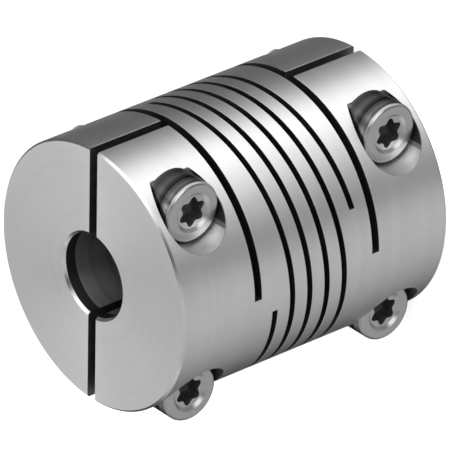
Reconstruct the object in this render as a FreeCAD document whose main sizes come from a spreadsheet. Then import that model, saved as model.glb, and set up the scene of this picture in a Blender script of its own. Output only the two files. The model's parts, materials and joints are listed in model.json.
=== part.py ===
import FreeCAD, Part
import math
import os

import Sketcher

# Beam coupling: one aluminium cylinder whose middle is cut by three helical slits, with a
# split clamp hub at each end and two cap screws through each hub.
# Frame: the coupling stands on one end. +Z runs along the shaft axis, the origin is the
# centre of the lower end face, the clamp slits lie in the XZ plane, and the screw heads
# face -Y. Millimetres.

os.makedirs("parts", exist_ok=True)
doc = FreeCAD.newDocument("beam_coupling")


# Driving dimensions
sizes = [
    # coupling body
    ("outer_diameter", 25.4),
    ("overall_length", 30.5),
    ("rim_chamfer", 0.2),
    ("shaft_bore", 8.0),
    ("bore_chamfer", 0.25),
    # clamp hubs: jaws, the slit between them and the slot behind them
    ("jaw_length", 8.05),
    ("clamp_slit", 1.05),
    ("cross_slot", 0.8),
    ("cross_slot_floor", 0.25),
    # helical beams
    ("ring_width", 1.35),
    ("slit_starts", 3),
    ("slit_width", 0.6),
    ("slit_lead", 6.0),
    ("slit_angle", 53.0),
    ("relief_bore", 11.0),
    ("relief_margin", 0.7),
    # clamp screws and their holes
    ("screw_inset", 3.9),
    ("screw_edge", 3.6),
    ("seat_depth", 7.1),
    ("thread_diameter", 3.5),
    ("screw_length", 12.7),
    ("tip_chamfer", 0.1),
    ("thread_play", 0.02),
    ("shank_clearance", 0.15),
    ("head_diameter", 5.74),
    ("head_height", 3.5),
    ("head_chamfer", 0.3),
    ("head_clearance", 0.28),
    # six-lobe drive recess in each head
    ("drive_lobes", 6),
    ("drive_across", 2.9),
    ("drive_lobe_depth", 0.39),
    ("drive_lobe_radius", 0.27),
    ("drive_depth", 1.7),
    ("drive_angle", 52.0),
]
sheet = doc.addObject("Spreadsheet::Sheet", "Sizes")
for row, (alias, value) in enumerate(sizes, start=1):
    sheet.set("A%d" % row, alias)
    sheet.set("B%d" % row, str(value))
    sheet.setAlias("B%d" % row, alias)
doc.recompute()


def size(formula):
    """A formula of plain size names, as text that is bound to the sheet."""
    names = [name for name, number in sizes]
    return " ".join("Sizes." + word if word in names else word for word in formula.split())


def value_of(formula):
    """The present value of a formula of sizes."""
    value = sheet.evalExpression(size(formula))
    return getattr(value, "Value", value)


def new_sketch(body, name, role, offset="0", turn=("0", (0, 0, 1))):
    """An empty sketch on one of the body's own origin planes, moved along the plane's normal
    and turned by an angle about an axis of the plane."""
    sketch = body.newObject("Sketcher::SketchObject", name)
    plane = [feature for feature in body.Origin.OriginFeatures if feature.Role == role][0]
    sketch.AttachmentSupport = [(plane, "")]
    sketch.MapMode = "FlatFace"
    angle, axis = turn
    rotation = FreeCAD.Rotation(FreeCAD.Vector(*axis), value_of(angle))
    sketch.AttachmentOffset = FreeCAD.Placement(FreeCAD.Vector(), rotation)
    sketch.setExpression("AttachmentOffset.Base.z", size(offset))
    sketch.setExpression("AttachmentOffset.Rotation.Angle", size(angle))
    return sketch


def bind(sketch, kind, places, formula):
    """A driving dimension in a sketch, bound to a formula of sizes."""
    index = sketch.addConstraint(Sketcher.Constraint(kind, *places, value_of(formula)))
    sketch.setExpression("Constraints[%d]" % index, size(formula))


def polygon(sketch, corners):
    """A closed outline of straight edges. Each corner is a pair of formulas of sizes."""
    points = [FreeCAD.Vector(value_of(across), value_of(up)) for across, up in corners]
    count = len(points)
    edges = [Part.LineSegment(points[i], points[(i + 1) % count]) for i in range(count)]
    sketch.addGeometry(edges, False)
    for i, (across, up) in enumerate(corners):
        sketch.addConstraint(Sketcher.Constraint("Coincident", i, 2, (i + 1) % count, 1))
        bind(sketch, "DistanceX", (i, 1), across)
        bind(sketch, "DistanceY", (i, 1), up)


def circle(sketch, across, up, diameter):
    """A circle whose centre and diameter are formulas of sizes."""
    centre = FreeCAD.Vector(value_of(across), value_of(up))
    upright = FreeCAD.Vector(0, 0, 1)
    index = sketch.addGeometry(Part.Circle(centre, upright, value_of(diameter) / 2), False)
    bind(sketch, "DistanceX", (index, 3), across)
    bind(sketch, "DistanceY", (index, 3), up)
    bind(sketch, "Diameter", (index,), diameter)


def revolve(body, name, sketch):
    """A full turn of a sketch about its upright axis."""
    feature = body.newObject("PartDesign::Revolution", name)
    feature.Profile = sketch
    feature.ReferenceAxis = (sketch, ["V_Axis"])
    feature.Angle = 360
    doc.recompute()


def cut(body, kind, name, sketch, settings, formulas):
    """A feature that has to take metal away from the body."""
    before = body.Shape.Volume
    feature = body.newObject("PartDesign::" + kind, name)
    feature.Profile = sketch
    for setting, value in settings.items():
        setattr(feature, setting, value)
    for setting, formula in formulas.items():
        feature.setExpression(setting, size(formula))
    doc.recompute()
    if not body.Shape.Volume < before:
        raise RuntimeError(name + " cuts nothing")
    return feature


def repeat_round(body, name, original, axis, count):
    """Copies of a cut spaced evenly round an axis."""
    before = body.Shape.Volume
    feature = body.newObject("PartDesign::PolarPattern", name)
    feature.Originals = [original]
    feature.Axis = axis
    feature.Angle = 360
    feature.setExpression("Occurrences", size(count))
    body.Tip = feature
    doc.recompute()
    if not body.Shape.Volume < before:
        raise RuntimeError(name + " cuts nothing")


# Coupling body: a turned blank, bored right through and relieved between the hubs.
# A section of the metal to one side of the axis is turned about it.
coupling = doc.addObject("PartDesign::Body", "coupling_body")
coupling.Label = "coupling_body"
slit_foot = "( jaw_length + cross_slot + ring_width + slit_width / 2 )"
relief_end = "( jaw_length + cross_slot + ring_width - relief_margin )"
screw_offset = "( outer_diameter / 2 - screw_edge )"
head_seat = "( outer_diameter / 2 - seat_depth )"
blank_section = new_sketch(coupling, "blank_section", "XZ_Plane")
polygon(blank_section, [
    ("shaft_bore / 2 + bore_chamfer", "0"),
    ("outer_diameter / 2 - rim_chamfer", "0"),
    ("outer_diameter / 2", "rim_chamfer"),
    ("outer_diameter / 2", "overall_length - rim_chamfer"),
    ("outer_diameter / 2 - rim_chamfer", "overall_length"),
    ("shaft_bore / 2 + bore_chamfer", "overall_length"),
    ("shaft_bore / 2", "overall_length - bore_chamfer"),
    ("shaft_bore / 2", "overall_length - " + relief_end),
    ("relief_bore / 2", "overall_length - " + relief_end),
    ("relief_bore / 2", relief_end),
    ("shaft_bore / 2", relief_end),
    ("shaft_bore / 2", "bore_chamfer"),
])
revolve(coupling, "turned_blank", blank_section)


def clamp_hub(hub, height):
    """Cuts one hub into clamp jaws. height turns a distance from the hub's end face into a
    height above the origin."""
    # The clamp slit runs right across the hub and through the bore, as far as the cross slot
    split = new_sketch(coupling, hub + "_clamp_slit_section", "XZ_Plane")
    polygon(split, [
        ("0 - outer_diameter", height("0 - jaw_length")),
        ("outer_diameter", height("0 - jaw_length")),
        ("outer_diameter", height("jaw_length + cross_slot / 2")),
        ("0 - outer_diameter", height("jaw_length + cross_slot / 2")),
    ])
    cut(coupling, "Pocket", hub + "_clamp_slit", split,
        {"Type": "Length", "Midplane": True}, {"Length": "clamp_slit"})

    # The cross slot frees the two jaws on the +X side, down to the shaft axis
    cross = new_sketch(coupling, hub + "_cross_slot_section", "XZ_Plane")
    polygon(cross, [
        ("cross_slot_floor", height("jaw_length")),
        ("outer_diameter", height("jaw_length")),
        ("outer_diameter", height("jaw_length + cross_slot")),
        ("cross_slot_floor", height("jaw_length + cross_slot")),
    ])
    cut(coupling, "Pocket", hub + "_cross_slot", cross,
        {"Type": "ThroughAll", "Midplane": True}, {})

    # Each screw has a counterbore and a clear hole in the front jaw, and a tapped hole behind
    for name, offset, diameter, in_front in [
        ("counterbores", head_seat, "head_diameter + 2 * head_clearance", True),
        ("screw_holes", "0", "thread_diameter + 2 * shank_clearance", True),
        ("tapped_holes", "0", "thread_diameter + 2 * thread_play", False),
    ]:
        section = new_sketch(coupling, hub + "_" + name + "_section", "XZ_Plane", offset=offset)
        for side in (screw_offset, "0 - " + screw_offset):
            circle(section, side, height("screw_inset"), diameter)
        cut(coupling, "Pocket", hub + "_" + name, section,
            {"Type": "ThroughAll", "Reversed": in_front}, {})


def from_bottom(distance):
    return distance


def from_top(distance):
    return "overall_length - ( " + distance + " )"


clamp_hub("bottom", from_bottom)
clamp_hub("top", from_top)


# Helical beams: one slit is swept up its lead from ring to ring, and the other starts are
# spaced evenly round the axis. The metal left between the slits is the beams.
slit_section = new_sketch(coupling, "slit_section", "XZ_Plane", turn=("slit_angle", (0, 1, 0)))
polygon(slit_section, [
    ("shaft_bore / 2", slit_foot + " - slit_width / 2"),
    ("outer_diameter / 2 + slit_width", slit_foot + " - slit_width / 2"),
    ("outer_diameter / 2 + slit_width", slit_foot + " + slit_width / 2"),
    ("shaft_bore / 2", slit_foot + " + slit_width / 2"),
])
slit = cut(coupling, "SubtractiveHelix", "helical_slit", slit_section,
           {"ReferenceAxis": (slit_section, ["V_Axis"]), "Mode": 0},
           {"Pitch": "slit_lead", "Height": "overall_length - 2 * " + slit_foot})
repeat_round(coupling, "helical_slits", slit, (slit_section, ["V_Axis"]), "slit_starts")


def lobe_outline(sketch):
    """One lobe of the drive recess: two straight spokes from the centre, two hollow flanks
    that start square to the spokes, and a round tip that the flanks run into."""
    half_lobe = math.pi / sheet.drive_lobes
    waist = value_of("drive_across / 2 - drive_lobe_depth")
    tip_radius = value_of("drive_lobe_radius")
    tip_centre = value_of("drive_across / 2 - drive_lobe_radius")
    along_spoke = tip_centre * math.cos(half_lobe)
    flank_radius = (tip_centre**2 + waist**2 - tip_radius**2 - 2 * along_spoke * waist) \
        / (2 * (tip_radius + along_spoke - waist))

    centre = FreeCAD.Vector()
    upright = FreeCAD.Vector(0, 0, 1)
    spoke_end = FreeCAD.Vector(math.cos(half_lobe), math.sin(half_lobe)) * waist
    flank_centre = spoke_end * (1 + flank_radius / waist)
    other_end = FreeCAD.Vector(spoke_end.x, -spoke_end.y)
    other_centre = FreeCAD.Vector(flank_centre.x, -flank_centre.y)
    joint = math.atan2(flank_centre.y, flank_centre.x - tip_centre)
    tip_circle = Part.Circle(FreeCAD.Vector(tip_centre, 0), upright, tip_radius)
    flank_circle = Part.Circle(flank_centre, upright, flank_radius)
    other_circle = Part.Circle(other_centre, upright, flank_radius)
    sketch.addGeometry([
        Part.LineSegment(centre, spoke_end),
        Part.LineSegment(centre, other_end),
        Part.ArcOfCircle(tip_circle, -joint, joint),
        Part.ArcOfCircle(flank_circle, math.pi + half_lobe, math.pi + joint),
        Part.ArcOfCircle(other_circle, math.pi - joint, math.pi - half_lobe),
    ], False)
    spoke, other_spoke, tip, flank, other_flank = range(5)
    for kind, *places in [
        ("Coincident", spoke, 1, -1, 1),
        ("Coincident", other_spoke, 1, -1, 1),
        ("PointOnObject", tip, 3, -1),
        ("Coincident", flank, 1, spoke, 2),
        ("PointOnObject", flank, 3, spoke),
        ("Tangent", flank, 2, tip, 2),
        ("Coincident", other_flank, 2, other_spoke, 2),
        ("PointOnObject", other_flank, 3, other_spoke),
        ("Tangent", other_flank, 1, tip, 1),
    ]:
        sketch.addConstraint(Sketcher.Constraint(kind, *places))
    spoke_length = "( drive_across / 2 - drive_lobe_depth )"
    across = spoke_length + " * cos( 180 deg / drive_lobes )"
    aside = spoke_length + " * sin( 180 deg / drive_lobes )"
    bind(sketch, "DistanceX", (spoke, 2), across)
    bind(sketch, "DistanceY", (spoke, 2), aside)
    bind(sketch, "DistanceX", (other_spoke, 2), across)
    bind(sketch, "DistanceY", (other_spoke, 2), "0 - " + aside)
    bind(sketch, "DistanceX", (tip, 3), "drive_across / 2 - drive_lobe_radius")
    bind(sketch, "Radius", (tip,), "drive_lobe_radius")


def cap_screw(name, side, height):
    """A socket head cap screw, modelled upright with its seat at Z = 0 and then laid into its
    hub with the head towards -Y."""
    screw = doc.addObject("PartDesign::Body", name)
    screw.Label = name

    # Head, shank and chamfered tip, turned about the screw's own axis
    section = new_sketch(screw, name + "_section", "XZ_Plane")
    polygon(section, [
        ("0", "0 - screw_length"),
        ("thread_diameter / 2 - tip_chamfer", "0 - screw_length"),
        ("thread_diameter / 2", "tip_chamfer - screw_length"),
        ("thread_diameter / 2", "0"),
        ("head_diameter / 2", "0"),
        ("head_diameter / 2", "head_height - head_chamfer"),
        ("head_diameter / 2 - head_chamfer", "head_height"),
        ("0", "head_height"),
    ])
    revolve(screw, name + "_turned", section)

    # Drive recess: one lobe cut into the head, then the others round the axis
    lobe_section = new_sketch(screw, name + "_lobe_section", "XY_Plane",
                              offset="head_height", turn=("drive_angle", (0, 0, 1)))
    lobe_outline(lobe_section)
    lobe = cut(screw, "Pocket", name + "_lobe", lobe_section,
               {"Type": "Length"}, {"Length": "drive_depth"})
    repeat_round(screw, name + "_recess", lobe, (section, ["V_Axis"]), "drive_lobes")

    lying = FreeCAD.Rotation(FreeCAD.Vector(1, 0, 0), 90)
    screw.Placement = FreeCAD.Placement(FreeCAD.Vector(), lying)
    screw.setExpression(".Placement.Base.x", size(side))
    screw.setExpression(".Placement.Base.y", size("0 - " + head_seat))
    screw.setExpression(".Placement.Base.z", size(height("screw_inset")))
    return screw


# Clamp screws: two through each hub, one each side of the bore, all heads to the front
pieces = [coupling]
for hub, height in (("bottom", from_bottom), ("top", from_top)):
    for hand, side in (("right", screw_offset), ("left", "0 - " + screw_offset)):
        pieces.append(cap_screw(hub + "_clamp_screw_" + hand, side, height))
doc.recompute()


# Check every object and write each piece to its own file
for item in doc.Objects:
    if "Invalid" in item.State or "Error" in item.State:
        raise RuntimeError(item.Name + " failed")
for piece in pieces:
    shape = piece.Shape
    if shape.isNull() or not shape.isValid() or len(shape.Solids) != 1:
        raise RuntimeError(piece.Label + " is not one sound solid")
    shape.exportStep("parts/" + piece.Label + ".step")
    print(piece.Label, round(shape.Volume, 2), "mm3")
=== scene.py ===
import json
import math

import bpy
import numpy as np
from mathutils import Matrix, Vector

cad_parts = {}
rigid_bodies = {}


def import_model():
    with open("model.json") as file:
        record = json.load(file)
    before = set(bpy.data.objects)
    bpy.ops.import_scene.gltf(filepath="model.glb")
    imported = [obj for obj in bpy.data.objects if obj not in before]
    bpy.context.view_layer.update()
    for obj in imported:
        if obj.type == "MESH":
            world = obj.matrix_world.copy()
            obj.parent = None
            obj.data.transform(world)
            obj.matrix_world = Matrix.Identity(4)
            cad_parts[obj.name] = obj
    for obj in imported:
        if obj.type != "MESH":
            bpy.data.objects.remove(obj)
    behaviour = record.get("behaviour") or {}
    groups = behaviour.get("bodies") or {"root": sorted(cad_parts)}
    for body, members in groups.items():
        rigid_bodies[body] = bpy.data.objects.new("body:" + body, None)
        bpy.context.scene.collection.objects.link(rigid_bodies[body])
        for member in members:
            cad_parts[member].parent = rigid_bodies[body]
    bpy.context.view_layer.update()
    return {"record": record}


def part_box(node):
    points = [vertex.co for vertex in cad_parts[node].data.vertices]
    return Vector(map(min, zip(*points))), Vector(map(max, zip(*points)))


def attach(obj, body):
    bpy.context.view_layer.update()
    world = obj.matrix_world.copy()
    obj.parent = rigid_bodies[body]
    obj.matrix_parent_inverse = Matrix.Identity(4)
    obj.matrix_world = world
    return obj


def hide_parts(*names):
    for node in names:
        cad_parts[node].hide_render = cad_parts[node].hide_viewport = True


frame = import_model()


# Coupling body: one bar of aluminium, turned and bored in a lathe, then slit by a thin saw
# into three helical beams and two clamp hubs. It starts here as the turned blank, which is
# a section of the metal on one side of the shaft axis carried once round that axis.

# Lengths are in metres, and angles that have a name are in degrees.
MM = 0.001
MICRON = 0.001 * MM
_, body_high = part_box("coupling_body")
RADIUS = body_high.x
LENGTH = body_high.z
mounts = {mount["name"]: mount for mount in frame["record"]["mounts"]}
BORE_RADIUS = mounts["top_shaft_clamp"]["dims"]["r_mm"] * MM
RELIEF_RADIUS = 5.5 * MM
RELIEF_DEPTH = 9.5 * MM
RIM_CHAMFER = 0.2 * MM
BORE_CHAMFER = 0.25 * MM
BORE_MOUTH = 1.3 * MM
BLANK_STEPS = 360
BODY_CREASE = 28.0
TURNED, CHAMFER, BORED, MOUTH = range(4)


def skin(name, grid, finish=0, wrap=False, materials=()):
    """A closed mesh from a grid of points. Neighbours in a row and neighbours in a column
    are joined by four-sided faces, and each row closes on itself. The last row joins the
    first where wrap is set, and otherwise each end row is filled by one flat face. finish is
    the material slot of each four-sided face. The faces are turned outwards: the volume
    they hold, a third of the sum of position times area, has to come out positive."""
    rows, columns, _ = grid.shape
    number = np.arange(rows * columns).reshape(rows, columns)
    here = number if wrap else number[:-1]
    there = np.roll(number, -1, axis=0) if wrap else number[1:]
    quads = np.stack([here, np.roll(here, -1, axis=1), np.roll(there, -1, axis=1), there], axis=-1)
    slots = np.broadcast_to(finish, quads.shape[:2]).reshape(-1)
    quads = quads.reshape(-1, 4)
    points = grid.reshape(-1, 3)
    a, b, c, d = (points[quads[:, corner]] for corner in range(4))
    inside_out = np.einsum("ij,ij->i", a, np.cross(b, c) + np.cross(c, d)).sum()
    faces = quads.tolist()
    slots = slots.tolist()
    if not wrap:
        ends = [number[0, ::-1].tolist(), number[-1].tolist()]
        for end in ends:
            corners = points[end]
            inside_out += np.einsum("ij,ij->i", np.broadcast_to(corners[0], (len(end) - 2, 3)),
                                    np.cross(corners[1:-1], corners[2:])).sum()
        faces += ends
        slots += [slots[0], slots[-1]]
    if inside_out < 0:
        faces = [face[::-1] for face in faces]
    mesh = bpy.data.meshes.new(name)
    mesh.from_pydata(points.tolist(), [], faces)
    mesh.polygons.foreach_set("material_index", slots)
    for material in materials:
        mesh.materials.append(material)
    mesh.update()
    piece = bpy.data.objects.new(name, mesh)
    bpy.context.scene.collection.objects.link(piece)
    return piece


def turned(profile, steps):
    """The points (radius, height) of a profile carried round the Z axis in equal steps:
    x is the radius times the cosine of the angle and y is the radius times its sine. The
    steps start half a step past +X, so that no saw cut runs along an edge between two."""
    angle = 2 * np.pi * (np.arange(steps)[:, None] + 0.5) / steps
    radius, height = np.asarray(profile).T
    return np.stack([radius * np.cos(angle), radius * np.sin(angle),
                     np.broadcast_to(height, (steps, len(height)))], axis=-1)


# The finish of turned metal: fine rings left by the tool, which run round the shaft axis on
# the outside, on the end faces and in the bore alike, and a faint cloud of handling marks.
def new_group(name, inputs, outputs):
    """A shader node group with the named inputs (name, kind, value) and outputs."""
    group = bpy.data.node_groups.new(name, "ShaderNodeTree")
    for label, kind, value in inputs:
        socket = group.interface.new_socket(label, in_out="INPUT", socket_type="NodeSocket" + kind)
        if value is not None:
            socket.default_value = value
    for label, kind in outputs:
        group.interface.new_socket(label, in_out="OUTPUT", socket_type="NodeSocket" + kind)
    return group, group.nodes.new("NodeGroupInput"), group.nodes.new("NodeGroupOutput")


def node(tree, kind, values=None, **settings):
    """A shader node with its settings and the values of its input sockets."""
    made = tree.nodes.new("ShaderNode" + kind)
    for setting, value in settings.items():
        setattr(made, setting, value)
    for socket, value in (values or {}).items():
        if isinstance(value, bpy.types.NodeSocket):
            tree.links.new(value, made.inputs[socket])
        else:
            made.inputs[socket].default_value = value
    return made


rings, rings_in, rings_out = new_group(
    "tool_rings", [("Vector", "Vector", None), ("Per Metre", "Float", 9000.0), ("Wander", "Float", 0.02)],
    [("Height", "Float"), ("Tone", "Float")])
spread = node(rings, "SeparateXYZ", {0: rings_in.outputs["Vector"]})
flat = node(rings, "CombineXYZ", {0: spread.outputs[0], 1: spread.outputs[1]})
reach = node(rings, "VectorMath", {0: flat.outputs[0]}, operation="LENGTH")
sway = node(rings, "VectorMath", {0: flat.outputs[0], "Scale": rings_in.outputs["Wander"]},
            operation="SCALE")
sway_part = node(rings, "SeparateXYZ", {0: sway.outputs[0]})
across = node(rings, "Math", {0: spread.outputs[2], 1: sway_part.outputs[0]}, operation="ADD")
along = node(rings, "Math", {0: reach.outputs["Value"], 1: sway_part.outputs[1]}, operation="ADD")
place = node(rings, "CombineXYZ", {0: along.outputs[0], 1: across.outputs[0]})
fine = node(rings, "TexNoise", {"Vector": place.outputs[0], "Scale": rings_in.outputs["Per Metre"],
                                "Detail": 2.0, "Roughness": 0.6}, noise_dimensions="2D")
# The broad rings are about eight times as wide as the fine ones.
BROAD_RINGS = 0.12
coarse_scale = node(rings, "Math", {0: rings_in.outputs["Per Metre"], 1: BROAD_RINGS},
                    operation="MULTIPLY")
coarse = node(rings, "TexNoise", {"Vector": place.outputs[0], "Scale": coarse_scale.outputs[0],
                                  "Detail": 3.0}, noise_dimensions="2D")
rings.links.new(fine.outputs["Fac"], rings_out.inputs["Height"])
rings.links.new(coarse.outputs["Fac"], rings_out.inputs["Tone"])

clouds, clouds_in, clouds_out = new_group(
    "handling_clouds", [("Vector", "Vector", None), ("Per Metre", "Float", 160.0)], [("Tone", "Float")])
cloud = node(clouds, "TexNoise", {"Vector": clouds_in.outputs["Vector"],
                                  "Scale": clouds_in.outputs["Per Metre"], "Detail": 6.0,
                                  "Roughness": 0.62})
clouds.links.new(cloud.outputs["Fac"], clouds_out.inputs["Tone"])


def metal(name, dark, light, rough, ring_depth, rings_per_metre, lean=0.0,
          vector="Object", axis="Z", bare=1.0, glance=1.0):
    """A bare metal: its colour runs from dark to light with the handling clouds and the
    broad rings, its roughness from the first to the second value of rough with the tool
    rings, and those are ring_depth metres deep. lean is how much further its shine spreads
    across the rings, which run round the axis, than along them. bare is the share of it that
    mirrors, and the rest is matt. glance is how bright it mirrors at a low angle."""
    material = bpy.data.materials.new(name)
    material.use_nodes = True
    tree = material.node_tree
    tree.nodes.clear()
    where = node(tree, "TexCoord")
    ring = node(tree, "Group", {"Vector": where.outputs[vector], "Per Metre": rings_per_metre},
                node_tree=rings)
    marks = node(tree, "Group", {"Vector": where.outputs[vector]}, node_tree=clouds)
    blend = node(tree, "Math", {0: ring.outputs["Tone"], 1: marks.outputs["Tone"]}, operation="ADD")
    colour = node(tree, "ValToRGB", {"Fac": node(tree, "MapRange", {
        "Value": blend.outputs[0], "From Min": 0.7, "From Max": 1.3}).outputs["Result"]})
    colour.color_ramp.elements[0].color = (*dark, 1)
    colour.color_ramp.elements[1].color = (*light, 1)
    roughness = node(tree, "MapRange", {"Value": ring.outputs["Height"], "From Min": 0.3,
                                        "From Max": 0.7, "To Min": rough[0], "To Max": rough[1]})
    bump = node(tree, "Bump", {"Height": ring.outputs["Height"], "Distance": ring_depth, "Strength": 1.0})
    tangent = node(tree, "Tangent", direction_type="RADIAL", axis=axis)
    shader = node(tree, "BsdfPrincipled", {
        "Base Color": colour.outputs["Color"], "Roughness": roughness.outputs["Result"],
        "Normal": bump.outputs["Normal"], "Metallic": bare, "Anisotropic": lean,
        "Anisotropic Rotation": 0.25, "Specular Tint": (glance, glance, glance, 1),
        "Tangent": tangent.outputs[0]})
    node(tree, "OutputMaterial", {"Surface": shader.outputs[0]})
    return material


turned_aluminium = metal("turned_aluminium", (0.84, 0.84, 0.85), (0.89, 0.89, 0.895),
                         rough=(0.37, 0.43), ring_depth=0.4 * MICRON, rings_per_metre=9000.0, lean=0.8)
edge_aluminium = metal("edge_aluminium", (0.80, 0.80, 0.81), (0.90, 0.90, 0.905),
                       rough=(0.18, 0.26), ring_depth=0.4 * MICRON, rings_per_metre=9000.0,
                       glance=0.35)
# Painted shade: this bored finish is coloured dark grey, far darker than the turned outside, for the
# shade inside the bores. The screw holes use it on their lips and for the lighter part of the shade on
# their walls.
bored_painted_shade = metal("bored_painted_shade", (0.22, 0.22, 0.225), (0.36, 0.36, 0.365),
                        rough=(0.48, 0.56), ring_depth=1.5 * MICRON, rings_per_metre=6000.0, lean=0.8,
                        bare=0.95, glance=0.4)
# Painted shade: the first BORE_MOUTH of each bore is coloured near black.
mouth_painted_shade = metal("mouth_painted_shade", (0.03, 0.03, 0.032), (0.06, 0.06, 0.062),
                        rough=(0.48, 0.58), ring_depth=1.5 * MICRON, rings_per_metre=6000.0, lean=0.8,
                        glance=0.4)
# Each bore carries painted shade: near black for the first BORE_MOUTH of its depth, and a
# dark grey deeper in. The relief between the two bores is wider than they are, and no shaft
# touches it.
blank_profile = [
    (BORE_RADIUS, BORE_CHAMFER), (BORE_RADIUS + BORE_CHAMFER, 0),
    (RADIUS - RIM_CHAMFER, 0), (RADIUS, RIM_CHAMFER),
    (RADIUS, LENGTH - RIM_CHAMFER), (RADIUS - RIM_CHAMFER, LENGTH),
    (BORE_RADIUS + BORE_CHAMFER, LENGTH), (BORE_RADIUS, LENGTH - BORE_CHAMFER),
    (BORE_RADIUS, LENGTH - BORE_MOUTH),
    (BORE_RADIUS, LENGTH - RELIEF_DEPTH), (RELIEF_RADIUS, LENGTH - RELIEF_DEPTH),
    (RELIEF_RADIUS, RELIEF_DEPTH), (BORE_RADIUS, RELIEF_DEPTH),
    (BORE_RADIUS, BORE_MOUTH),
]
blank_finish = [CHAMFER, TURNED, CHAMFER, TURNED, CHAMFER, TURNED, CHAMFER,
                MOUTH, BORED, BORED, BORED, BORED, BORED, MOUTH]
body = skin("coupling_metal", turned(blank_profile, BLANK_STEPS), blank_finish, wrap=True,
            materials=[turned_aluminium, edge_aluminium, bored_painted_shade, mouth_painted_shade])


# Helical slits: a thin saw follows three screw paths, a third of a turn apart, right through
# the wall. The walls of the slit carry painted shade, a near-black colour. The sharp lip on
# the outside is broken by a small bevel.
HELIX_LEAD = 6.0 * MM
HELIX_STARTS = 3
SLIT_WIDTH = 0.6 * MM
SLIT_FOOT = 10.5 * MM
SLIT_BEARING = 53.0
SAW_LIP = 0.02 * MM
PAST = 0.5 * MM
WALL, EDGE = range(2)
# Painted shade: the walls of the helical slits and the cross slots, and the darkest part of the
# counterbores' walls, are coloured near black for the shade deep inside them.
painted_shade_aluminium = metal("painted_shade_aluminium", (0.06, 0.06, 0.063), (0.11, 0.11, 0.113),
                        rough=(0.50, 0.66), ring_depth=4 * MICRON, rings_per_metre=5000.0)
deep_finishes = [painted_shade_aluminium, turned_aluminium]


def saw_slit(half_width, inner, surface):
    """The section of a slit that opens at a surface: (depth, across) pairs. The sides stand
    half_width from the middle and lean out by 45 degrees over the last SAW_LIP. They go on
    PAST the surface, so that nothing of the cutter ends in it."""
    straight, flare = surface - SAW_LIP, half_width + SAW_LIP + PAST
    return [(inner, -half_width), (straight, -half_width), (surface + PAST, -flare),
            (surface + PAST, flare), (straight, half_width), (inner, half_width)]


SLIT_FINISH = [WALL, EDGE, EDGE, EDGE, WALL, WALL]
slit_section = np.array(saw_slit(SLIT_WIDTH / 2, BORE_RADIUS, RADIUS))
slit_rise = LENGTH - 2 * SLIT_FOOT
slit_turn = 2 * np.pi * slit_rise / HELIX_LEAD
stations = int(round(math.degrees(slit_turn)))
for start in range(HELIX_STARTS):
    # At each station a point of the section at radius r and height h keeps that radius and
    # stands h above the path, which climbs one lead in a turn.
    climb = np.linspace(0, slit_turn, stations + 1)[:, None]
    turn = climb + math.radians(SLIT_BEARING) + 2 * np.pi * start / HELIX_STARTS
    path = np.stack([slit_section[:, 0] * np.cos(turn), slit_section[:, 0] * np.sin(turn),
                     SLIT_FOOT + HELIX_LEAD * climb / (2 * np.pi) + slit_section[:, 1]], axis=-1)
    skin("helix_cutter_%d" % start, path, SLIT_FINISH, materials=deep_finishes)


# Clamp slits and cross slots: each hub is sawn along its length, through the bore, and then
# across on the +X side, so that its two jaws can be drawn together on the shaft.
JAW_LENGTH = 8.05 * MM
CLAMP_SLIT = 1.05 * MM
CROSS_SLOT = 0.8 * MM
CROSS_FLOOR = 0.25 * MM
CROSS_STEPS = 177
# Painted shade: the walls of the clamp slits are coloured dark grey for the shade inside them.
sawn_painted_shade = metal("sawn_painted_shade", (0.14, 0.14, 0.145), (0.22, 0.22, 0.225),
                       rough=(0.42, 0.60), ring_depth=4 * MICRON, rings_per_metre=5000.0)
cut_finishes = [sawn_painted_shade, turned_aluminium]


def on_end(points, hub):
    """Points worked out for the hub at Z = 0, moved to the hub at the other end by
    turning Z round: z becomes the length less z."""
    moved = np.array(points, float)
    if hub == "top":
        moved[..., 2] = LENGTH - moved[..., 2]
    return moved


for hub in ("bottom", "top"):
    # The clamp slit opens at the end face, along the whole of it.
    slit_end = JAW_LENGTH + CROSS_SLOT / 2
    depth, side = np.array(saw_slit(CLAMP_SLIT / 2, -slit_end, 0)).T
    bar = np.array([np.stack([np.full_like(side, x), side, -depth], axis=-1)
                    for x in (-RADIUS - PAST, RADIUS + PAST)])
    skin("split_cutter_" + hub, on_end(bar, hub), SLIT_FINISH, materials=cut_finishes)

    # It opens on the round flank as well, at -X and at +X.
    lip_reach = math.sqrt(RADIUS**2 - (CLAMP_SLIT / 2)**2)
    for sense in (-1, 1):
        reach, side = np.array(saw_slit(CLAMP_SLIT / 2, BORE_RADIUS + PAST, lip_reach)).T
        post = np.array([np.stack([sense * reach, side, np.full_like(side, z)], axis=-1)
                         for z in (-PAST, slit_end)])
        skin("flank_cutter_%s_%d" % (hub, sense), on_end(post, hub), SLIT_FINISH,
             materials=cut_finishes)

    # The cross slot's section runs from its floor, a flat near the axis, out past the flank.
    # At a share s of the way round, a point at radius r stands s times the arc cosine of the
    # floor's height over r away from +X, so that both ends of the slot lie in its floor.
    reach, side = np.array(saw_slit(CROSS_SLOT / 2, 0, RADIUS)).T
    share = np.linspace(-1, 1, CROSS_STEPS)[:, None]
    floor_half = RADIUS / 2
    widest = np.arccos(CROSS_FLOOR / np.maximum(reach, floor_half))
    x = np.where(reach == 0, CROSS_FLOOR, reach * np.cos(share * widest))
    y = np.where(reach == 0, share * floor_half, reach * np.sin(share * widest))
    z = np.broadcast_to(slit_end + side, x.shape)
    skin("cross_cutter_" + hub, on_end(np.stack([x, y, z], axis=-1), hub), SLIT_FINISH,
         materials=deep_finishes)


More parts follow.
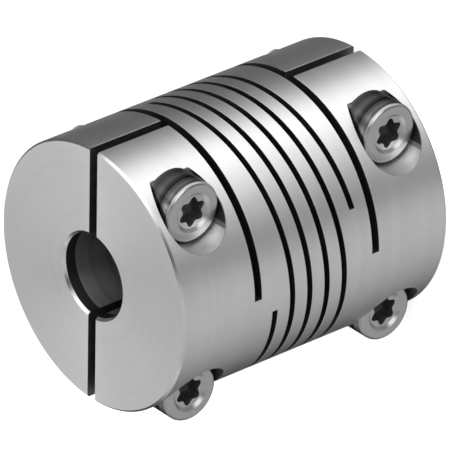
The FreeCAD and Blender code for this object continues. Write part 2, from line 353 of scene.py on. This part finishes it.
# Screw holes: a counterbore down to the seat of the head, a clear hole through the front
# jaw and a tapped one through the jaw behind. The counterbore breaks out of the round flank,
# and its wall carries painted shade on the side towards -Z: dark grey at the ends of that
# side and near black in its middle.
COUNTERBORE = 3.15 * MM
CLEAR_HOLE = 1.9 * MM
TAPPED_HOLE = 1.77 * MM
HEAD_HEIGHT = 3.5 * MM
HOLE_STEPS = 96
LIP = 0.05 * MM
LIP_REACH = 6 * LIP
FLANK_LEAST = 0.1 * RADIUS
# The painted shade covers these bearings round the hole, in degrees from +X towards +Z: dark grey over
# the first range, near black over the second.
GREY_SHADE_SPAN = (230, 350)
BLACK_SHADE_SPAN = (238, 345)
# The second and third slots hold painted shade, a dark grey and a near black.
MILLED, GREY_SHADE, BLACK_SHADE = range(3)
milled_aluminium = metal("milled_aluminium", (0.84, 0.84, 0.85), (0.94, 0.94, 0.945),
                         rough=(0.30, 0.40), ring_depth=2 * MICRON, rings_per_metre=5000.0, bare=0.88)
hole_finishes = [milled_aluminium, bored_painted_shade, painted_shade_aluminium]
screws = ["%s_clamp_screw_%s" % (hub, hand) for hub in ("bottom", "top") for hand in ("right", "left")]


def flank(x):
    """How far the round surface lies from the XZ plane: the root of radius squared less x
    squared, and nothing past the radius."""
    return np.sqrt(np.maximum(RADIUS**2 - x**2, 0))


def rings_along_y(bands, centre_x, centre_z, around):
    """A grid of rings round a line along Y, one for each (radius, depth, finish) band: x and z
    are the centre's plus the radius times the cosine and the sine of the angle, and y is the
    depth. A radius or a depth is even, or has a value for each angle. With the grid come the
    radii and the finish of each row of faces, which is that of the band it starts from."""
    radius = np.array([np.broadcast_to(band[0], around.shape) for band in bands])
    depth = np.array([np.broadcast_to(band[1], around.shape) for band in bands])
    grid = np.stack([centre_x + radius * np.cos(around), depth,
                     centre_z + radius * np.sin(around)], axis=-1)
    return grid, radius, np.array([band[2] for band in bands[:-1]])[:, None]


for screw in screws:
    low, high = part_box(screw)
    centre_x, centre_z = (low.x + high.x) / 2, (low.z + high.z) / 2
    seat = low.y + HEAD_HEIGHT
    around = np.linspace(0, 2 * np.pi, HOLE_STEPS, endpoint=False)

    # The lip leaves the wall LIP below the round surface and meets it LIP further out, and is
    # carried on well past there. slope is how fast the surface falls away outwards, and
    # FLANK_LEAST keeps it finite where the surface turns under.
    edge_x = centre_x + COUNTERBORE * np.cos(around)
    mouth = -flank(edge_x)
    slope = edge_x * np.cos(around) / np.maximum(flank(edge_x), FLANK_LEAST)
    share = 1 / np.sqrt(1 + slope**2)
    outside = COUNTERBORE + LIP_REACH * share
    back = flank(centre_x + TAPPED_HOLE * np.cos(around))
    hole = [
        (outside, -RADIUS - 2 * PAST, GREY_SHADE),
        (outside, np.minimum(mouth + LIP + LIP_REACH * (slope * share - 1), seat - LIP), GREY_SHADE),
        (COUNTERBORE, np.minimum(mouth + LIP, seat - LIP / 2), MILLED),
        (COUNTERBORE, seat, MILLED),
        (CLEAR_HOLE, seat, MILLED),
        (CLEAR_HOLE, 0, MILLED),
        (TAPPED_HOLE, 0, MILLED),
        (TAPPED_HOLE, back - LIP, GREY_SHADE),
        (TAPPED_HOLE + LIP + PAST, back + PAST, GREY_SHADE),
        (TAPPED_HOLE + LIP + PAST, RADIUS + PAST, GREY_SHADE),
    ]
    grid, _, finish = rings_along_y(hole, centre_x, centre_z, around)
    finish = np.repeat(finish, HOLE_STEPS, axis=1)
    # The third row of faces is the wall of the counterbore.
    wall = finish[2]
    bearing = np.degrees(around)
    # Painted shade on the counterbore's wall: dark grey over the wider range of bearings, then near black
    # over the narrower one.
    for (shade_from, shade_to), shade_slot in ((GREY_SHADE_SPAN, GREY_SHADE), (BLACK_SHADE_SPAN, BLACK_SHADE)):
        wall[(bearing > shade_from) & (bearing < shade_to)] = shade_slot
    skin("hole_cutter_" + screw, grid, finish, materials=hole_finishes)

# Every cut is taken out of the blank at once, and the shapes that made them are deleted.
cutters = bpy.data.collections.new("cutters")
for cutter in [piece for piece in bpy.data.objects if "_cutter_" in piece.name]:
    cutters.objects.link(cutter)
cut = body.modifiers.new("cut", "BOOLEAN")
cut.operation = "DIFFERENCE"
cut.solver = "EXACT"
cut.material_mode = "TRANSFER"
cut.operand_type = "COLLECTION"
cut.collection = cutters
cut_body = body.evaluated_get(bpy.context.evaluated_depsgraph_get())
cut_mesh = bpy.data.meshes.new_from_object(cut_body)
body.modifiers.clear()
body.data = cut_mesh
for cutter in list(cutters.objects):
    bpy.data.objects.remove(cutter)
bpy.data.collections.remove(cutters)
# Edges that bend by more than BODY_CREASE degrees stay sharp.
body.data.shade_smooth()
body.data.set_sharp_from_angle(angle=math.radians(BODY_CREASE))
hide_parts("coupling_body")
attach(body, "root")


# Clamp screws: steel cap screws, cold headed and rolled, with a smooth head, a six-lobe
# socket in a shallow round recess, and a right-handed thread. Each lies along Y with its head
# to the front, seated in its counterbore and turned into the jaw behind.
HEAD_EDGE = 0.38 * MM
HEAD_EDGE_STEPS = 6
UNDERHEAD_EDGE = 0.1 * MM
RECESS_RADIUS = 1.90 * MM
RECESS_FLOOR = 1.60 * MM
RECESS_DEPTH = 0.27 * MM
SOCKET_RADIUS = 1.45 * MM
SOCKET_LOBE = 0.195 * MM
SOCKET_DEPTH = 1.7 * MM
SOCKET_CONE = 0.35 * MM
SOCKET_CORNER = 0.05 * MM
FLOOR_SHARE = 0.80
FOOT_SHARE = 0.97
SOCKET_TURN = 52.0
THREAD_RADIUS = 1.75 * MM
THREAD_PITCH = 0.6 * MM
THREAD_DEPTH = 0.32 * MM
THREAD_START = 1.0 * MM
THREAD_RISE = 2.4
THREAD_CREST = 0.1
TIP_EDGE = 0.15 * MM
POLE_RADIUS = 0.05 * MM
SCREW_STEPS = 96
ROWS_PER_PITCH = 8
SCREW_CREASE = 35.0
SMOOTH, SOCKET, FLANK = range(3)
screw_steel = metal("screw_steel", (0.52, 0.52, 0.53), (0.62, 0.62, 0.63),
                    rough=(0.30, 0.38), ring_depth=1 * MICRON, rings_per_metre=9000.0, lean=0.3,
                    vector="UV", axis="Y")
# Painted shade: the inside of each socket is coloured near black, far darker than the head's steel, for
# the shade in it.
socket_painted_shade = metal("socket_painted_shade", (0.05, 0.05, 0.052), (0.12, 0.12, 0.123),
                     rough=(0.36, 0.50), ring_depth=2 * MICRON, rings_per_metre=6000.0,
                     vector="UV", axis="Y", bare=0.5)
# Painted shade: the side of each head is coloured from near black to mid grey, darker than the head's
# steel, for the shade between it and the counterbore's wall. The tool rings vary it.
flank_painted_shade = metal("flank_painted_shade", (0.02, 0.02, 0.02), (0.38, 0.38, 0.385),
                    rough=(0.24, 0.36), ring_depth=6 * MICRON, rings_per_metre=12000.0,
                    vector="UV", axis="Y", glance=0.3)


def head_bands(low, seat, head_radius, around):
    """The bands of a screw's head, from the bottom of its socket out over its face and along
    its side to the seat. The socket's outline is a mean radius plus the cosine of six times
    the angle, so it has six lobes, and the edge of the face is a quarter of a circle."""
    lobe = SOCKET_RADIUS - SOCKET_LOBE + SOCKET_LOBE * np.cos(
        6 * (around - math.radians(SOCKET_TURN)))
    bands = [
        (POLE_RADIUS, low.y + SOCKET_DEPTH + SOCKET_CONE, SOCKET),
        (FLOOR_SHARE * lobe, low.y + SOCKET_DEPTH, SOCKET),
        (FOOT_SHARE * lobe, low.y + SOCKET_DEPTH - SOCKET_CORNER, SOCKET),
        (lobe, low.y + RECESS_DEPTH, SMOOTH),
        (RECESS_FLOOR, low.y + RECESS_DEPTH, SMOOTH),
        (RECESS_RADIUS, low.y, SMOOTH),
    ]
    for tilt in np.linspace(0, 0.5 * np.pi, HEAD_EDGE_STEPS, endpoint=False):
        bands.append((head_radius - HEAD_EDGE + HEAD_EDGE * math.sin(tilt),
                      low.y + HEAD_EDGE - HEAD_EDGE * math.cos(tilt), SMOOTH))
    return bands + [
        (head_radius, low.y + HEAD_EDGE, FLANK),
        (head_radius, seat - UNDERHEAD_EDGE, FLANK),
        (head_radius - UNDERHEAD_EDGE, seat, SMOOTH),
        (THREAD_RADIUS, seat, SMOOTH),
    ]


def thread_bands(thread_from, tip, around):
    """The bands of the thread and the tip. The depth of the groove is a triangle wave of y
    over the pitch plus the share of a turn, with its crests and roots cut flat. It grows from
    nothing over the first pitch, and the bevel of the tip cuts it off."""
    bands = [(THREAD_RADIUS, thread_from - THREAD_DEPTH, SMOOTH)]
    rows = int((tip - thread_from) / THREAD_PITCH * ROWS_PER_PITCH)
    for row in range(rows + 1):
        y = thread_from + (tip - thread_from) * row / rows
        phase = ((y - thread_from) / THREAD_PITCH + around / (2 * np.pi)) % 1
        groove = THREAD_DEPTH * np.clip(THREAD_RISE * np.abs(phase - 0.5) - THREAD_CREST, 0, 1)
        start = min(1, row / ROWS_PER_PITCH)
        taper = max(0, y - (tip - TIP_EDGE))
        bands.append((np.minimum(THREAD_RADIUS - groove * start, THREAD_RADIUS - taper), y, SMOOTH))
    return bands + [(POLE_RADIUS, tip, SMOOTH)]


for screw in screws:
    low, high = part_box(screw)
    centre_x, centre_z = (low.x + high.x) / 2, (low.z + high.z) / 2
    seat = low.y + HEAD_HEIGHT
    around = np.linspace(0, 2 * np.pi, SCREW_STEPS, endpoint=False)
    bands = head_bands(low, seat, (high.x - low.x) / 2, around)
    bands += thread_bands(seat + THREAD_START, high.y, around)
    grid, radius, finish = rings_along_y(bands, centre_x, centre_z, around)
    piece = skin(screw + "_steel", grid, finish, materials=[screw_steel, socket_painted_shade, flank_painted_shade])
    # The finish follows the screw's own axis: the map holds the distance from it and the depth.
    layer = piece.data.uv_layers.new(name="turned")
    corner = np.empty(len(piece.data.loops), int)
    piece.data.loops.foreach_get("vertex_index", corner)
    turned_map = np.stack([radius, grid[..., 1]], axis=-1).reshape(-1, 2)
    layer.data.foreach_set("uv", turned_map[corner].reshape(-1))
    piece.data.shade_smooth()
    piece.data.set_sharp_from_angle(angle=math.radians(SCREW_CREASE))
    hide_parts(screw)
    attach(piece, "root")


# Floor: a pale sheet under the coupling. The camera sees it as plain white, a little greyer
# where the coupling shades it, and the metal mirrors the soft tent round the stand instead.
FLOOR_SIZE = 4.0
FLOOR_GLOW = 0.62
half = FLOOR_SIZE / 2
floor_mesh = bpy.data.meshes.new("floor")
floor_mesh.from_pydata([(-half, -half, 0), (half, -half, 0), (half, half, 0), (-half, half, 0)],
                       [], [(0, 1, 2, 3)])
floor = bpy.data.objects.new("floor", floor_mesh)
bpy.context.scene.collection.objects.link(floor)
floor.visible_glossy = False
paper = bpy.data.materials.new("pale_paper")
paper.use_nodes = True
tree = paper.node_tree
tree.nodes.clear()
sheet = node(tree, "BsdfDiffuse", {"Color": (0.86, 0.86, 0.86, 1)})
glow = node(tree, "Emission", {"Color": (1, 1, 1, 1), "Strength": FLOOR_GLOW})
seen = node(tree, "LightPath")
no_glow = node(tree, "BsdfTransparent", {"Color": (0, 0, 0, 1)})
lift = node(tree, "MixShader", {0: seen.outputs["Is Camera Ray"], 1: no_glow.outputs[0],
                                2: glow.outputs[0]})
both = node(tree, "AddShader", {0: sheet.outputs[0], 1: lift.outputs[0]})
node(tree, "OutputMaterial", {"Surface": both.outputs[0]})
floor_mesh.materials.append(paper)


# Light: a round tent of white cloth, closed by plain grey cloth above and below. Its wall is
# brightest at +X, which gives the streak along the coupling, and nearly black beside -X. Five
# softboxes hang in it, three black flags take light away, and a soft lamp hangs high in front.

# Each stop of the wall is a bearing in degrees, from +X towards +Y, and the brightness there.
TENT = [(-180, 0.19), (-163, 0.34), (-145, 0.48), (-115, 0.55), (-95, 0.50), (-78, 0.22),
        (-62, 0.10), (-45, 0.20), (-28, 0.76), (-12, 1.25), (2, 1.44), (12, 1.32), (22, 0.68),
        (33, 0.34), (46, 0.18), (60, 0.115), (85, 0.08), (105, 0.20), (125, 0.16), (138, 0.05),
        (150, 0.01), (165, 0.01), (175, 0.10), (180, 0.19)]
LID_FROM, LID_FULL, LID_GREY = 0.80, 0.96, 0.45
# A box or flag has a direction, the cosine of the angle from it where the light starts, the
# cosine where it is full, and how much light it adds or takes away there.
END_FACE_BOX = ((-0.499, 0.660, 0.562), 0.60, 0.95, 0.46)
HEAD_BOX = ((0.128, 0.657, 0.743), 0.992, 0.998, 4.0)
CAMERA_BOX = ((0.649, -0.721, 0.242), 0.88, 0.96, 1.6)
RIM_BOX = ((0.682, 0.394, 0.616), 0.966, 0.985, 0.9)
BACK_RIM_BOX = ((-0.937, -0.165, 0.309), 0.94, 0.985, 0.3)
TOP_FLAG = ((-0.220, 0.262, 0.940), 0.95, 0.985, -0.4)
FRONT_FLAG = ((0.263, -0.494, 0.829), 0.95, 0.98, -0.09)
LOW_FLAG = ((-0.410, 0.287, -0.866), 0.82, 0.94, -0.45)
world = bpy.data.worlds.new("tent")
bpy.context.scene.world = world
world.use_nodes = True
tree = world.node_tree
tree.nodes.clear()
towards = node(tree, "TexCoord")
parts = node(tree, "SeparateXYZ", {0: towards.outputs["Generated"]})
bearing = node(tree, "Math", {0: parts.outputs[1], 1: parts.outputs[0]}, operation="ARCTAN2")
turn_share = node(tree, "MapRange", {"Value": bearing.outputs[0], "From Min": -math.pi,
                                     "From Max": math.pi})
tent = node(tree, "ValToRGB", {"Fac": turn_share.outputs["Result"]})
while len(tent.color_ramp.elements) > 1:
    tent.color_ramp.elements.remove(tent.color_ramp.elements[-1])
for angle, grey in TENT:
    share = (angle + 180) / 360
    first = angle == TENT[0][0]
    stop = tent.color_ramp.elements[0] if first else tent.color_ramp.elements.new(share)
    stop.position = share
    stop.color = (grey, grey, grey, 1)
steep = node(tree, "Math", {0: parts.outputs[2]}, operation="ABSOLUTE")
lid = node(tree, "MapRange", {"Value": steep.outputs[0], "From Min": LID_FROM,
                              "From Max": LID_FULL}, interpolation_type="SMOOTHSTEP")
level = node(tree, "Mix", {0: lid.outputs["Result"], 6: tent.outputs["Color"],
                           7: (LID_GREY, LID_GREY, LID_GREY, 1)}, data_type="RGBA").outputs[2]
for way, rim, middle, brightness in (END_FACE_BOX, HEAD_BOX, CAMERA_BOX, RIM_BOX, BACK_RIM_BOX,
                                     TOP_FLAG, FRONT_FLAG, LOW_FLAG):
    facing = node(tree, "VectorMath", {0: towards.outputs["Generated"],
                                       1: Vector(way).normalized()}, operation="DOT_PRODUCT")
    box = node(tree, "MapRange", {"Value": facing.outputs["Value"], "From Min": rim,
                                  "From Max": middle, "To Max": brightness},
               interpolation_type="SMOOTHSTEP")
    level = node(tree, "VectorMath", {0: level, 1: box.outputs["Result"]},
                 operation="ADD").outputs[0]
# The flags never take away more light than there is. The camera itself sees plain white where
# the tent is.
level = node(tree, "VectorMath", {0: level, 1: (0, 0, 0)}, operation="MAXIMUM").outputs[0]
cloth = node(tree, "Background", {"Color": level, "Strength": 1.0})
white = node(tree, "Background", {"Color": (1, 1, 1, 1), "Strength": 1.0})
ray = node(tree, "LightPath")
shown = node(tree, "MixShader", {0: ray.outputs["Is Camera Ray"], 1: cloth.outputs[0],
                                 2: white.outputs[0]})
node(tree, "OutputWorld", {"Surface": shown.outputs[0]})
world.cycles.sampling_method = "NONE"

LAMP_WAY = Vector((0.55, -0.42, 0.72))
LAMP_DISTANCE = 0.5
LAMP_SIZE = 0.6
LAMP_WATTS = 1.2
lamp_data = bpy.data.lights.new("soft_key", "AREA")
lamp_data.shape = "SQUARE"
lamp_data.size = LAMP_SIZE
lamp_data.energy = LAMP_WATTS
lamp = bpy.data.objects.new("soft_key", lamp_data)
lamp.location = LAMP_WAY.normalized() * LAMP_DISTANCE
lamp.rotation_mode = "QUATERNION"
lamp.rotation_quaternion = LAMP_WAY.to_track_quat("Z", "Y")
lamp.visible_glossy = False
bpy.context.scene.collection.objects.link(lamp)


# Camera: the photograph looks down the shaft from a long way off, with the coupling lying
# down, so the camera is far, long and turned until +X points up in the picture.
CAMERA_PLACE = Vector((373.305, -496.275, 439.637)) * MM
CAMERA_RIGHT = Vector((0.01661, -0.64260, -0.76603)).normalized()
CAMERA_UP = Vector((0.86786, 0.38972, -0.30811))
CAMERA_LENS = 675.0
SENSOR_WIDTH = 36.0
camera_data = bpy.data.cameras.new("camera")
camera_data.lens = CAMERA_LENS
camera_data.sensor_width = SENSOR_WIDTH
camera = bpy.data.objects.new("camera", camera_data)
back = CAMERA_RIGHT.cross(CAMERA_UP).normalized()
up = back.cross(CAMERA_RIGHT)
camera.matrix_world = Matrix.Translation(CAMERA_PLACE) @ Matrix(
    (CAMERA_RIGHT, up, back)).transposed().to_4x4()
bpy.context.scene.collection.objects.link(camera)
bpy.context.scene.camera = camera
bpy.context.scene.view_settings.view_transform = "Standard"
